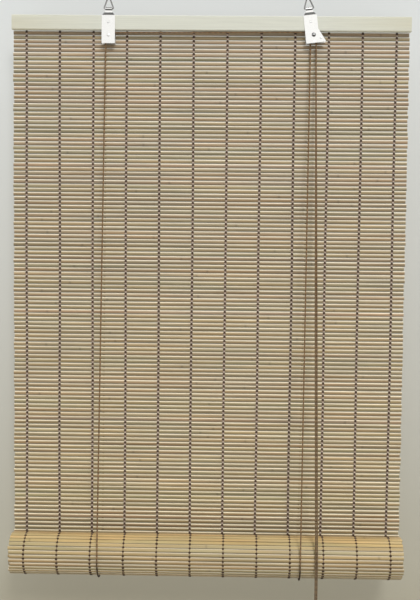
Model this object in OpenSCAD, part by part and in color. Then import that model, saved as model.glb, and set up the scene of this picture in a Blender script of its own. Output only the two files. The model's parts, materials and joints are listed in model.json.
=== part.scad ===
// Roll-up bamboo blind. A mat of woven slats hangs behind a wooden head rail and is wound
// up from below. Two lift cords carry the roll in slings and run over pulleys to a cord lock.
// Millimetres: X runs along the rail, +Y points away from the viewer, +Z is up.
// The origin is the hook seat of the left ring, where the blind hangs.

/* [Head rail] */
// Length of the head rail
rail_len = 600; // [540:5:900]
// Height of the head rail
rail_h = 22; // [20:1:24]
// Thickness of the head rail
rail_t = 10; // [8:0.5:14]
// Rounding of the rail's long edges
rail_round = 1.5; // [0.5:0.25:3]

/* [Mat] */
// Rail end to the edge of the mat
mat_inset = 2; // [0:0.5:10]
// Top of the rail to the first slat
mat_drop = 3; // [2:0.5:6]
// Height of one slat with its gap
slat_pitch = 6.4; // [5.6:0.1:7.2]
// Gap between two slats
slat_gap = 0.6; // [0.4:0.1:1.2]
// Thickness of a slat at its crest
slat_t = 2.4; // [1.8:0.1:2.8]
// Thickness of a slat along its edges
slat_edge_t = 0.8; // [0.5:0.1:1.2]
// Slats that hang flat
flat_slats = 127; // [124:1:140]
// Slats hidden behind the rail
rail_slats = 3; // [3:1:4]
// Gaps that are open between slats
open_gaps = 120; // [60:1:120]
// Width of the web that joins a slat to the next, at the left and the right end in turn
web_w = 3; // [2:0.5:10]

/* [Warp threads] */
// Number of warp threads
thread_count = 12; // [4:1:16]
// Edge of the mat to the first thread
thread_edge = 18.5; // [8:0.5:30]
// Width of a thread
thread_w = 2.2; // [1:0.1:3]
// Thickness of the front yarn over the slats
thread_t = 0.8; // [0.4:0.1:1.2]
// Thickness of the thinner back yarn
back_thread_t = 0.3; // [0.2:0.05:0.5]

/* [Roll] */
// Radius of the roll
roll_r = 34; // [28:0.5:40]
// Distance from one turn of the roll to the next
turn_pitch = 4.4; // [3.8:0.1:5]
// Radius of the innermost turn
core_r = 8; // [7:0.5:12]
// Depth of the grooves between slats on the outside of the roll
roll_groove = 0.8; // [0.4:0.1:1]

/* [Hangers] */
// Left end of the rail to the left hanger
hanger_inset = 146; // [60:1:200]
// Distance between the two hangers
hanger_gap = 302; // [200:1:340]
// Thickness of the hanger sheet
sheet_t = 1; // [0.8:0.1:1.4]
// Width of a hanger plate
plate_w = 20; // [18:1:26]
// Height of the left hanger's plate
plate_h = 42; // [36:1:48]
// Corner rounding of the left plate
plate_round = 1; // [1:0.5:5]
// Width of the neck above the plate
neck_w = 18; // [14:0.5:18]
// Height of the neck
neck_h = 6.5; // [5:0.25:7]
// Height at which the neck stands upright again
neck_slope = 4; // [3:0.25:5]
// Width of the rolled knuckle
knuckle_w = 10; // [8:0.5:12]
// Top of the rail to the axis of the knuckle
knuckle_rise = 10; // [9:0.5:12]
// Lean of the lock housing, anticlockwise from the front
lock_tilt = 7; // [0:1:8]
// How much higher the lock housing sits on the rail than the left hanger
lock_lift = 1.9; // [1.6:0.1:2.4]
// Reach of the lock housing's flared corner past the plate
flare_w = 9.5; // [9:0.5:14]
// Top of the lock housing to the start of the flare
flare_drop = 21.5; // [18:0.5:24]
// Diameter of a hanger nail
nail_d = 1.8; // [1.2:0.1:2.4]
// Top of the plate to the hanger nail
nail_drop = 10.5; // [7:0.5:14]

/* [Rings] */
// Diameter of the ring wire
ring_wire = 2.2; // [1.6:0.1:2.6]
// Knuckle axis to the hook seat of the ring
ring_h = 14; // [12:0.5:20]
// Centreline radius of the bend at the top of the ring
ring_top_r = 2.5; // [2:0.25:4]
// Centreline radius of the two bends beside the knuckle
ring_corner_r = 1.4; // [1.4:0.1:2]

/* [Pulleys and lock] */
// Diameter of a pulley axle
axle_d = 3; // [2:0.1:3.6]
// Top of the rail to the left pulley's axle
left_axle_drop = 30; // [29:0.5:32]
// Top of the lock housing to the pulley axle
axle_drop = 30; // [29:0.5:34]
// Middle of the lock housing to the pulley axle
axle_side = 2.5; // [0:0.5:3]
// Radius at the bottom of a pulley groove
groove_root_r = 3; // [2.6:0.1:3.2]
// Radius of the pulley flanges
flange_r = 6; // [5.2:0.1:6.2]
// Thickness of a pulley flange
flange_t = 0.7; // [0.5:0.1:1]
// Diameter of the dome head on the lock axle
dome_d = 6.4; // [5:0.2:8]
// Pulley axle to the cam pin, sideways
cam_side = 10.1; // [9.6:0.1:11]
// Pulley axle to the cam pin, downwards
cam_drop = 5.4; // [5:0.1:6]
// Diameter of the cam pin
cam_pin_d = 2.4; // [1.8:0.1:3]
// Radius of the cam's round body
cam_body_r = 3.6; // [3:0.1:4]
// Length of the cam's toothed face
cam_face = 5; // [4:0.2:6]
// Number of teeth on the cam
cam_teeth = 5; // [3:1:6]
// Radius of the anvil pin
anvil_r = 1.8; // [1.2:0.1:2.2]
// Gap between the pulley flange and the anvil pin
grip_gap = 1.5; // [1:0.1:3]
// Anvil pin to the lower edge of the lock housing
lock_rim = 0.9; // [0.6:0.1:3]

/* [Cords] */
// Diameter of the cords
cord_d = 2.2; // [1.6:0.1:2.4]
// Number of staples that hold the mat to the rail
staple_count = 6; // [2:1:9]

/* [Pull cord end] */
// Length of the tied hank
hank_len = 46; // [40:1:60]
// Width of the tied hank
hank_w = 20; // [16:1:24]
// Depth of the tied hank
hank_t = 26; // [20:1:30]
// Diameter of the knob
knob_d = 15; // [12:0.5:20]
// Height of the knob
knob_h = 26; // [20:1:32]

/* [Hidden] */
$fn = 48;

// Clearances: seated pieces, running fits, and cords beside what they pass
seat_fit = 0.05;
run_fit = 0.05;
groove_fit = 0.1;
cord_gap = 0.3;

// Heights
rail_top = -ring_h - knuckle_rise;
mat_top = rail_top - mat_drop;
roll_z = mat_top - flat_slats * slat_pitch;

// Lengths along the rail
rail_mid = rail_len / 2 - hanger_inset;
mat_w = rail_len - 2 * mat_inset;
thread_step = (mat_w - 2 * thread_edge) / (thread_count - 1);
thread_x = [for (i = [0 : thread_count - 1]) rail_mid - mat_w / 2 + thread_edge + i * thread_step];

// Depths: the front yarn lies between the rail and the slats
mat_front = rail_t / 2 + thread_t;
mat_back = mat_front + slat_t;
roll_y = mat_back - roll_r;

// The hangers straddle the rail: the front leg lies on it, the rear leg in a recess
front_leg_y = -(rail_t / 2 + seat_fit + sheet_t / 2);
rear_leg_y = rail_t / 2 - seat_fit - sheet_t / 2;
legs_front = front_leg_y + sheet_t / 2;
legs_back = rear_leg_y - sheet_t / 2;
pulley_y = (legs_front + legs_back) / 2;
pulley_w = legs_back - legs_front - 0.3;
knuckle_r = ring_wire / 2 + run_fit;
front_bend = groove_fit - 0.4 * rail_round;
rear_bend = cord_gap;

// Pulley grooves: the left cord runs in the front one, the right cord in the rear one
groove_r = cord_d / 2 + groove_fit;
groove_shift = groove_r + flange_t / 2;
front_groove_y = pulley_y - groove_shift;
rear_groove_y = pulley_y + groove_shift;
cord_r = groove_root_r + groove_r;

// Places on the leaning lock housing, as [x, z]
function lock_out(p) = [
    hanger_gap + p[0] * cos(lock_tilt) - p[1] * sin(lock_tilt),
    rail_top + lock_lift + p[0] * sin(lock_tilt) + p[1] * cos(lock_tilt)
];
lock_axle_at = lock_out([axle_side, -axle_drop]);
left_axle_at = [0, rail_top - left_axle_drop];
left_cord_x = -cord_r;
right_cord_x = lock_axle_at[0] - cord_r;
pull_x = lock_axle_at[0] + cord_r;
left_lift_top = [front_groove_y, left_axle_at[1] - flange_r - cord_gap];
right_lift_top = [rear_groove_y, lock_axle_at[1] - flange_r - cord_gap];

// The cords pass between the anvil pin and the teeth of the cam, below the pulley
grip_drop = axle_drop + flange_r + grip_gap + anvil_r;
grip_side = (pull_x - hanger_gap - grip_drop * sin(lock_tilt)) / cos(lock_tilt);
anvil_at = [grip_side - cord_d / 2 - seat_fit - anvil_r, -grip_drop];
lock_h = grip_drop + anvil_r + lock_rim;
cam_at = [axle_side + cam_side, -axle_drop - cam_drop];
cam_run = lock_out(cam_at)[0] - pull_x - cord_d / 2 - cord_gap;
cam_w = pulley_w - 2;
exit_z = rail_top - lock_h - 4;

// Lift cords: down behind the mat, under the roll and up its front
sling_r = roll_r + cord_gap + cord_d / 2;
back_run_y = roll_y + sling_r;
cord_nail_z = mat_top - 1.5 * slat_pitch;
loop_r = nail_d / 2 + cord_d / 2 + seat_fit;
back_top_z = cord_nail_z - loop_r - cord_d / 2 - seat_fit;
function leave_angle(top) = let (d = top - [roll_y, roll_z]) atan2(d[1], d[0]) + acos(sling_r / norm(d));
function on_sling(a) = [roll_y + sling_r * cos(a), roll_z + sling_r * sin(a)];

// Winding: radius and angle of the outside of the mat after a wound length s
wound_slats = floor(PI * (roll_r * roll_r - core_r * core_r) / (turn_pitch * slat_pitch));
function wound_r(s) = sqrt(roll_r * roll_r - turn_pitch * s / PI);
function wound_angle(s) = -360 * (roll_r - wound_r(s)) / turn_pitch;
function wound(s, depth) = [
    roll_y + (wound_r(s) - depth) * cos(wound_angle(s)),
    roll_z + (wound_r(s) - depth) * sin(wound_angle(s))
];
turn_len = PI * (roll_r * roll_r - pow(roll_r - turn_pitch, 2)) / turn_pitch;
turn_slats = floor(turn_len / slat_pitch);
batten_r = wound_r(wound_slats * slat_pitch) - slat_t - seat_fit;

// Staples sit on the second slat, midway between threads and clear of the hangers
staple_w = 10;
staple_wire = 0.7;
staple_leg = slat_t + thread_t + 5;
staple_z = mat_top - 1.5 * slat_pitch;
staple_clear = plate_w / 2 + flare_w + staple_w / 2 + cord_gap;
staple_free = [for (i = [0 : thread_count - 2]) let (x = thread_x[i] + thread_step / 2)
    if (abs(x) > staple_clear && abs(x - hanger_gap) > staple_clear) x];
staple_pick = (len(staple_free) - 1) / (staple_count - 1);
staple_x = [for (i = [0 : staple_count - 1]) staple_free[round(i * staple_pick)]];

// Pull cord: the pair of strands leaves the lock, lies on the front of the roll and hangs
// down to the hank. Points are steps from the first one.
upper_steps = [
    [[0, 0, 0], [0, 0, -4], [0, -0.8, -14], [1.2, -30, -388], [4.2, -58.9, -762]],
    [[0, 0, 0], [0, 0, -4], [0, -0.8, -14], [3.6, -31.5, -388], [6.6, -62, -762]]
];
lower_steps = [[0, 0, 0], [0, -0.4, -5], [0, -0.5, -10], [0, -0.5, -14], [0, -0.5, -50], [0, -0.5, -84]];
tail_len = 14;
upper_start = [[pull_x, front_groove_y, exit_z], [pull_x, rear_groove_y, exit_z]];
upper_end = [for (i = [0, 1]) upper_start[i] + upper_steps[i][4]];
lower_start = [for (i = [0, 1]) upper_end[i] - [0, 0, cord_gap]];
lower_end = [for (i = [0, 1]) lower_start[i] + lower_steps[5]];
hank_at = (lower_end[0] + lower_end[1]) / 2;
knob_top_z = hank_at[2] - hank_len - tail_len + 6;

// Shared shapes

// Extrudes a (y, z) outline along X
module along_x(len) {
    rotate([90, 0, 90]) linear_extrude(len, center = true) children();
}

// Extrudes an (x, z) outline along Y
module along_y(len) {
    rotate([90, 0, 0]) linear_extrude(len, center = true) children();
}

// A pin along Y between two depths
module pin_y(d, y0, y1) {
    translate([0, y1, 0]) rotate([90, 0, 0]) cylinder(d = d, h = y1 - y0);
}

// A straight cord between two points
module cord_run(p, q, d = cord_d) {
    v = q - p;
    translate(p) rotate([0, acos(v[2] / norm(v)), atan2(v[1], v[0])]) cylinder(d = d, h = norm(v));
}

// Bent wire or cord in the XZ plane, angles from +X towards +Z
module bend_xz(r, from, to, d) {
    rotate([90, 0, 0]) rotate([0, 0, from]) rotate_extrude(angle = to - from)
        translate([r, 0]) circle(d = d);
}

// Bent cord in the YZ plane, angles from +Y towards +Z
module bend_yz(r, from, to, d) {
    rotate([90, 0, 90]) rotate([0, 0, from]) rotate_extrude(angle = to - from)
        translate([r, 0]) circle(d = d);
}

// A strip of sheet along a (y, z) line, mitred at its bends
module bent_strip(p) {
    n = len(p) - 1;
    across = [for (i = [0 : n - 1]) let (v = unit(p[i + 1] - p[i])) [-v[1], v[0]]];
    mitre = [for (i = [0 : n]) let (a = across[max(i - 1, 0)], b = across[min(i, n - 1)])
        (a + b) / (1 + a * b) * sheet_t / 2];
    polygon(concat([for (i = [0 : n]) p[i] + mitre[i]], [for (i = [n : -1 : 0]) p[i] - mitre[i]]));
}

// Points along an arc
function arc(c, r, from, to) = [for (k = [0 : 6])
    let (a = from + (to - from) * k / 6) c + r * [cos(a), sin(a)]];

// A rectangle with round corners, centred
module round_rect(w, h, r) {
    square([w - 2 * r, h], center = true);
    square([w, h - 2 * r], center = true);
    for (x = [-1, 1], y = [-1, 1]) translate([x * (w / 2 - r), y * (h / 2 - r)]) circle(r);
}

function unit(v) = v / norm(v);
function heading(p, i) = unit(p[min(i + 1, len(p) - 1)] - p[max(i - 1, 0)]);
function tube_ring(c, t) = let (u = unit(cross(t, [1, 0, 0])), v = cross(t, u))
    [for (k = [0 : 7]) c + cord_d / 2 * (cos(45 * k) * u + sin(45 * k) * v)];

// A free cord along a route, with eight sides
module tube(p) {
    n = len(p);
    polyhedron(
        points = [for (i = [0 : n - 1]) each tube_ring(p[i], heading(p, i))],
        faces = concat(
            [[for (k = [0 : 7]) k]],
            [for (i = [0 : n - 2], k = [0 : 7]) let (a = i * 8, b = (k + 1) % 8)
                [a + k, a + 8 + k, a + 8 + b, a + b]],
            [[for (k = [7 : -1 : 0]) (n - 1) * 8 + k]]
        )
    );
}

// Places a hanger's pieces: the middle of its top edge is on or a little above the top of the rail
module at_left() {
    translate([0, 0, rail_top]) children();
}

module at_lock() {
    translate([hanger_gap, 0, rail_top + lock_lift]) rotate([0, -lock_tilt, 0]) children();
}

// Head rail

// Pocket in the back of the rail for the rear leg of a hanger
module leg_pocket() {
    translate([-plate_w / 2 - seat_fit, legs_back - seat_fit, -rail_h - 5])
        cube([plate_w + 2 * seat_fit, sheet_t + 10, rail_h + 15]);
}

// Room beside that pocket for the top of the lock housing's flare
module flare_pocket() {
    low = rail_h + lock_lift + 3;
    wide = flare_w * (low - flare_drop) / (lock_h - flare_drop);
    translate([plate_w / 2, legs_back - seat_fit, -low])
        cube([wide + seat_fit, sheet_t + 10, low - flare_drop + 2 * seat_fit]);
}

// Room that a pulley needs to turn
module pulley_space(at) {
    translate([at[0], 0, at[1]]) pin_y(2 * (flange_r + cord_gap), legs_front, legs_back);
}

module head_rail() {
    color([0.84, 0.81, 0.72]) difference() {
        translate([rail_mid, 0, rail_top - rail_h / 2]) along_x(rail_len)
            round_rect(rail_t, rail_h, rail_round);
        at_left() leg_pocket();
        at_lock() leg_pocket();
        at_lock() flare_pocket();
        pulley_space(left_axle_at);
        pulley_space(lock_axle_at);
        hanger_nail_shanks(seat_fit);
        staples(seat_fit);
        cord_nail_shanks(seat_fit);
    }
}

// Mat: each slat is domed on the front, and joined to the next by a short web at one end

function slat_front(i) = let (z = mat_top - i * slat_pitch, h = slat_pitch - slat_gap) [
    [mat_back - slat_edge_t, z],
    [mat_front, z - 0.3 * h],
    [mat_front, z - 0.7 * h],
    [mat_back - slat_edge_t, z - h]
];

module slat_mat() {
    mat_foot = roll_z + slat_gap;
    color([0.68, 0.61, 0.48]) difference() {
        translate([rail_mid, 0, 0]) along_x(mat_w) polygon(concat(
            [for (i = [0 : flat_slats - 1]) each slat_front(i)],
            [[mat_back, mat_foot], [mat_back, mat_top]]
        ));
        for (i = [rail_slats : rail_slats + open_gaps - 1])
            translate([rail_mid - mat_w / 2, mat_front, mat_top - (i + 1) * slat_pitch])
                translate([i % 2 == 0 ? web_w : -web_w, 0, 0]) cube([mat_w, slat_t + 1, slat_gap]);
        staples(seat_fit);
        cord_nail_shanks(seat_fit);
    }
}

// Warp threads: the front yarn lies on the crests, the back yarn on the flat backs

module thread_row(y, t) {
    foot = roll_z + slat_gap;
    for (x = thread_x) translate([x - thread_w / 2, y, foot]) cube([thread_w, t, mat_top - foot]);
}

module front_threads() {
    color([0.30, 0.22, 0.15]) thread_row(mat_front - thread_t, thread_t);
}

module back_threads() {
    color([0.30, 0.22, 0.15]) thread_row(mat_back, back_thread_t);
}

// Roll: the mat wound inwards from the back of the roll, under it and up its front

module mat_roll() {
    color([0.66, 0.59, 0.45]) translate([rail_mid, 0, 0]) along_x(mat_w) polygon(concat(
        [for (i = [0 : wound_slats - 1], k = [0 : 2]) let (s = i * slat_pitch)
            k == 0 ? wound(s + slat_gap / 2, 0)
            : k == 1 ? wound(s + slat_pitch - slat_gap / 2, 0)
            : wound(s + slat_pitch, i < wound_slats - 1 ? roll_groove : 0)],
        [for (i = [wound_slats - 1 : -1 : 0], k = [0, 1]) let (s = i * slat_pitch)
            k == 0 ? wound(s + slat_pitch, slat_t - slat_edge_t / 2)
            : wound(s + slat_pitch / 2, slat_t)],
        [wound(slat_gap / 2, slat_t - slat_edge_t)]
    ));
}

module roll_threads() {
    lift = 0.1;
    color([0.30, 0.22, 0.15]) for (x = thread_x) translate([x, 0, 0]) along_x(thread_w) polygon(concat(
        [for (i = [0 : turn_slats]) wound((i + 0.1) * slat_pitch, -back_thread_t)],
        [for (i = [turn_slats : -1 : 0]) wound((i + 0.1) * slat_pitch, -lift)]
    ));
}

module bottom_batten() {
    color([0.78, 0.69, 0.50]) translate([rail_mid, roll_y, roll_z]) along_x(mat_w) circle(batten_r);
}

// Hangers: a folded strip, rolled into a knuckle above the rail, with a leg on each side of it

// The folded strip, cut to a front outline given as its child
module hanger_strip() {
    w = 2 * (plate_w + flare_w);
    foot_z = -max(plate_h, lock_h) - 1;
    knuckle_mid = knuckle_r + sheet_t / 2;
    difference() {
        intersection() {
            union() {
                translate([0, 0, knuckle_rise]) along_x(w) circle(knuckle_r + sheet_t);
                along_x(w) bent_strip([
                    [front_leg_y, foot_z], [front_leg_y, front_bend],
                    [-knuckle_mid, neck_slope], [-knuckle_mid, knuckle_rise]
                ]);
                along_x(w) bent_strip([
                    [rear_leg_y, foot_z], [rear_leg_y, rear_bend],
                    [knuckle_mid, neck_slope], [knuckle_mid, knuckle_rise]
                ]);
            }
            along_y(4 * rail_t) children();
        }
        translate([0, 0, knuckle_rise]) along_x(w) circle(knuckle_r);
    }
}

// Right and left halves of the neck and knuckle as seen from the front
neck_right = [[neck_w / 2, 0], [knuckle_w / 2, neck_h], [knuckle_w / 2, knuckle_rise + 6]];
neck_left = [for (i = [2 : -1 : 0]) [-neck_right[i][0], neck_right[i][1]]];

module left_front() {
    corner = [plate_w / 2 - plate_round, -plate_h + plate_round];
    polygon(concat(
        arc([-corner[0], corner[1]], plate_round, 180, 270), arc(corner, plate_round, 270, 360),
        [[plate_w / 2, 0]], neck_right, neck_left, [[-plate_w / 2, 0]]
    ));
}

module lock_front() {
    flare = plate_w / 2 + flare_w;
    tip_r = 1;
    polygon(concat(
        arc([-plate_w / 2 + tip_r, -lock_h + tip_r], tip_r, 180, 270),
        arc([flare - tip_r, -lock_h + tip_r], tip_r, 270, 390),
        [[plate_w / 2, -flare_drop], [plate_w / 2, 0]], neck_right, neck_left, [[-plate_w / 2, 0]]
    ));
}

// A hole through both legs
module leg_hole(at, d) {
    translate([at[0], 0, at[1]]) pin_y(d, -rail_t - 5, rail_t + 5);
}

module left_hanger() {
    color([0.80, 0.80, 0.79]) difference() {
        at_left() hanger_strip() left_front();
        at_left() leg_hole([0, -left_axle_drop], axle_d);
        at_left() translate([0, 0, -nail_drop]) pin_y(nail_d, -rail_t - 5, 0);
        cord_nail_shanks(seat_fit);
    }
}

module lock_housing() {
    color([0.80, 0.80, 0.79]) difference() {
        at_lock() hanger_strip() lock_front();
        at_lock() leg_hole([axle_side, -axle_drop], axle_d);
        at_lock() leg_hole(cam_at, cam_pin_d);
        at_lock() leg_hole(anvil_at, 2 * anvil_r);
        at_lock() translate([0, 0, -nail_drop]) pin_y(nail_d, -rail_t - 5, 0);
        cord_nail_shanks(seat_fit);
    }
}

// A rivet along Y through both legs, with a domed or nearly flat head in front
module rivet(d, head_d, head_h) {
    front = front_leg_y - sheet_t / 2;
    dome_r = (head_h * head_h + head_d * head_d / 4) / (2 * head_h);
    pin_y(d, front, rear_leg_y + sheet_t / 2);
    translate([0, front, 0]) rotate([90, 0, 0]) rotate_extrude() intersection() {
        translate([0, head_h - dome_r]) circle(dome_r);
        square([head_d, head_h + 1]);
    }
}

module left_axle() {
    color([0.72, 0.72, 0.70]) at_left() translate([0, 0, -left_axle_drop]) rivet(axle_d, axle_d + 1.6, 0.5);
}

module lock_axle() {
    color([0.72, 0.72, 0.70]) at_lock() translate([axle_side, 0, -axle_drop]) rivet(axle_d, dome_d, 1.8);
}

module cam_pin() {
    color([0.72, 0.72, 0.70]) at_lock() translate([cam_at[0], 0, cam_at[1]])
        rivet(cam_pin_d, cam_pin_d + 1.2, 0.4);
}

module anvil_pin() {
    color([0.72, 0.72, 0.70]) at_lock() translate([anvil_at[0], 0, anvil_at[1]])
        pin_y(2 * anvil_r, front_leg_y - sheet_t / 2, rear_leg_y + sheet_t / 2);
}

// Nails through the front legs into the rail
module hanger_nail_shanks(fit) {
    front = front_leg_y - sheet_t / 2;
    at_left() translate([0, 0, -nail_drop]) pin_y(nail_d + 2 * fit, front, rail_t / 2 - sheet_t - 1.5 + fit);
    at_lock() translate([0, 0, -nail_drop]) pin_y(nail_d + 2 * fit, front, rail_t / 2 - sheet_t - 1.5 + fit);
}

module nail_head() {
    translate([0, front_leg_y - sheet_t / 2, -nail_drop]) rotate([90, 0, 0])
        cylinder(d1 = 2.2 * nail_d, d2 = 1.6 * nail_d, h = 0.6);
}

module hanger_nails() {
    color([0.76, 0.76, 0.74]) {
        hanger_nail_shanks(0);
        at_left() nail_head();
        at_lock() nail_head();
    }
}

// Rings: triangles of bent wire that hinge in the knuckles

// Bends are a hair thicker than the straight wire, which ends a little inside them
module wire_ring() {
    plug = 0.2;
    half = knuckle_w / 2 + 0.3;
    straight = ring_wire - run_fit;
    top = [0, ring_h + ring_wire / 2 - ring_top_r];
    corner = [half, ring_corner_r];
    d = corner - top;
    lean = atan2(d[1], d[0]) + acos((ring_top_r - ring_corner_r) / norm(d));
    side_len = sqrt(d * d - pow(ring_top_r - ring_corner_r, 2)) + 2 * plug;
    translate([0, 0, top[1]]) bend_xz(ring_top_r, lean, 180 - lean, ring_wire);
    for (m = [0, 1]) mirror([m, 0, 0]) {
        translate([corner[0], 0, corner[1]]) bend_xz(ring_corner_r, -90, lean, ring_wire);
        translate([0, 0, top[1]]) rotate([0, -lean, 0]) translate([ring_top_r, 0, plug])
            rotate([180, 0, 0]) cylinder(d = straight, h = side_len);
    }
    rotate([0, 90, 0]) cylinder(d = straight, h = 2 * (half + plug), center = true);
}

module left_ring() {
    color([0.70, 0.70, 0.69]) at_left() translate([0, 0, knuckle_rise]) wire_ring();
}

module right_ring() {
    color([0.70, 0.70, 0.69]) at_lock() translate([0, 0, knuckle_rise]) wire_ring();
}

// Pulleys: a hub that fills the space between the legs, and flanged grooves for the cords

module pulley(grooves) {
    rotate([90, 0, 0]) rotate_extrude() difference() {
        union() {
            translate([axle_d / 2 + run_fit, -pulley_w / 2]) square([1, pulley_w]);
            for (g = grooves) translate([axle_d / 2 + run_fit, g - groove_r - flange_t])
                square([flange_r - axle_d / 2 - run_fit, 2 * (groove_r + flange_t)]);
        }
        for (g = grooves) {
            translate([cord_r, g]) circle(groove_r);
            translate([cord_r, g - groove_r]) square([flange_r, 2 * groove_r]);
        }
    }
}

module left_pulley() {
    color([0.88, 0.86, 0.80]) translate([0, pulley_y, left_axle_at[1]]) pulley([groove_shift]);
}

module lock_pulley() {
    color([0.88, 0.86, 0.80]) translate([lock_axle_at[0], pulley_y, lock_axle_at[1]])
        pulley([-groove_shift, groove_shift]);
}

// Lock cam: its toothed face lies along the cords below the pin, so a rising cord wedges it tighter
module lock_cam() {
    tooth = 0.7;
    step = cam_face / cam_teeth;
    face = [for (i = [0 : cam_teeth - 1], k = [0, 1])
        [-cam_run + (k == 0 ? tooth : 0), -tooth - (i + (k == 0 ? 0 : 0.7)) * step]];
    color([0.62, 0.62, 0.62]) at_lock() translate([cam_at[0], pulley_y, cam_at[1]]) rotate([0, lock_tilt, 0])
        along_y(cam_w) difference() {
            union() {
                circle(cam_body_r);
                polygon(concat([[0, cam_body_r - tooth]], face, [[0, tooth - cam_body_r]]));
            }
            circle(cam_pin_d / 2 + run_fit);
        }
}

// Staples: crowns on the back of a slat, legs through it into the rail
module staples(fit) {
    wire = staple_wire + 2 * fit;
    for (x = staple_x) translate([x, mat_back, staple_z]) {
        translate([-staple_w / 2 - fit, 0, -wire / 2]) cube([staple_w + 2 * fit, wire - fit, wire]);
        for (side = [-1, 1])
            translate([side * (staple_w - staple_wire) / 2 - wire / 2, -staple_leg - fit, -wire / 2])
                cube([wire, staple_leg + 2 * fit, wire]);
    }
}

module mat_staples() {
    color([0.70, 0.70, 0.68]) staples(0);
}

// Nails behind the mat that the lift cords are tied to
module cord_nail_shanks(fit) {
    tip = rail_t / 2 - 4;
    for (x = [left_cord_x, right_cord_x]) translate([x - loop_r, 0, cord_nail_z])
        pin_y(nail_d + 2 * fit, tip - fit, back_run_y + cord_d / 2 + seat_fit);
}

module cord_nails() {
    color([0.70, 0.70, 0.68]) {
        cord_nail_shanks(0);
        for (x = [left_cord_x, right_cord_x]) translate([x - loop_r, 0, cord_nail_z])
            pin_y(nail_d + 4.4, back_run_y + cord_d / 2 + seat_fit, back_run_y + cord_d / 2 + seat_fit + 0.9);
    }
}

// Cords

// Loops tied round the cord nails
module cord_loops() {
    color([0.52, 0.40, 0.24]) for (x = [left_cord_x, right_cord_x])
        translate([x - loop_r, back_run_y, cord_nail_z]) bend_xz(loop_r, 0, 360, cord_d);
}

module lift_back(x) {
    color([0.52, 0.40, 0.24]) cord_run([x, back_run_y, roll_z + cord_gap], [x, back_run_y, back_top_z]);
}

module lift_sling(x, top) {
    color([0.52, 0.40, 0.24]) translate([x, roll_y, roll_z]) bend_yz(sling_r, leave_angle(top), 360, cord_d);
}

module lift_front(x, top) {
    low = on_sling(leave_angle(top));
    foot = [x, low[0], low[1]];
    head = [x, top[0], top[1]];
    color([0.52, 0.40, 0.24]) cord_run(foot + unit(head - foot) * cord_gap, head);
}

module left_lift_back() { lift_back(left_cord_x); }
module left_lift_sling() { lift_sling(left_cord_x, left_lift_top); }
module left_lift_front() { lift_front(left_cord_x, left_lift_top); }
module right_lift_back() { lift_back(right_cord_x); }
module right_lift_sling() { lift_sling(right_cord_x, right_lift_top); }
module right_lift_front() { lift_front(right_cord_x, right_lift_top); }

// A lift cord where it comes up into its pulley groove
module lift_lead(x, top, axle_z) {
    cord_run([x, top[0], top[1] + groove_fit], [x, top[0], axle_z]);
}

// The left cord over its pulley, along the rail, over the lock pulley and down to the grip. The run
// along the rail is a hair thinner than the bends, and ends a little inside them.
module cross_cord() {
    left = [left_axle_at[0], front_groove_y, left_axle_at[1]];
    lock = [lock_axle_at[0], front_groove_y, lock_axle_at[1]];
    ahead = unit(lock - left);
    lean = atan2(ahead[2], ahead[0]);
    over = cord_r * [-ahead[2], 0, ahead[0]];
    plug = 0.2 * ahead;
    color([0.52, 0.40, 0.24]) {
        lift_lead(left_cord_x, left_lift_top, left_axle_at[1]);
        translate(left) bend_xz(cord_r, 90 + lean, 180, cord_d);
        cord_run(left + over - plug, lock + over + plug, cord_d - run_fit);
        translate(lock) bend_xz(cord_r, 0, 90 + lean, cord_d);
        cord_run([pull_x, front_groove_y, exit_z], [pull_x, front_groove_y, lock_axle_at[1]]);
    }
}

// The right cord over the lock pulley and down to the grip
module right_cord_wrap() {
    color([0.52, 0.40, 0.24]) {
        lift_lead(right_cord_x, right_lift_top, lock_axle_at[1]);
        translate([lock_axle_at[0], rear_groove_y, lock_axle_at[1]]) bend_xz(cord_r, 0, 180, cord_d);
        cord_run([pull_x, rear_groove_y, exit_z], [pull_x, rear_groove_y, lock_axle_at[1]]);
    }
}

module pull_cord_upper() {
    color([0.52, 0.40, 0.24]) for (i = [0, 1]) tube([for (s = upper_steps[i]) upper_start[i] + s]);
}

module pull_cord_lower() {
    color([0.52, 0.40, 0.24]) for (i = [0, 1]) {
        tail = [lower_end[i][0], lower_end[i][1], hank_at[2] - hank_len];
        tube([for (s = lower_steps) lower_start[i] + s]);
        tube([tail, tail - [0, 0, tail_len / 2], tail - [0, 0, tail_len]]);
    }
}

// Spare length of the pull cord, folded and tied
module cord_hank() {
    straight = hank_len - hank_w;
    color([0.52, 0.40, 0.24]) translate(hank_at - [0, 0, hank_len / 2]) along_y(hank_t) {
        square([hank_w, straight], center = true);
        for (end = [-1, 1]) translate([0, end * straight / 2]) circle(d = hank_w);
    }
}

module hank_tie() {
    band = 1.6;
    color([0.45, 0.34, 0.20]) translate(hank_at - [0, 0, hank_len / 2])
        linear_extrude(5, center = true) difference() {
            round_rect(hank_w + 2 * band, hank_t + 2 * band, 2);
            square([hank_w + 2 * seat_fit, hank_t + 2 * seat_fit], center = true);
        }
}

// Turned wooden knob, drilled from above for the two strands
module pull_knob() {
    ball = knob_d / 2;
    top_r = cord_d + 2.2;
    color([0.56, 0.38, 0.22]) translate([hank_at[0], hank_at[1], knob_top_z - knob_h])
        rotate_extrude() difference() {
            union() {
                intersection() {
                    translate([0, ball]) circle(ball);
                    square([knob_d, knob_d]);
                }
                polygon([
                    [0, ball], [ball, ball], [0.7 * ball, 0.6 * knob_h], [top_r, knob_h - 2],
                    [top_r, knob_h], [0, knob_h]
                ]);
            }
            translate([0, knob_h - 7]) square([cord_d + 0.3, 10]);
        }
}

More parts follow.
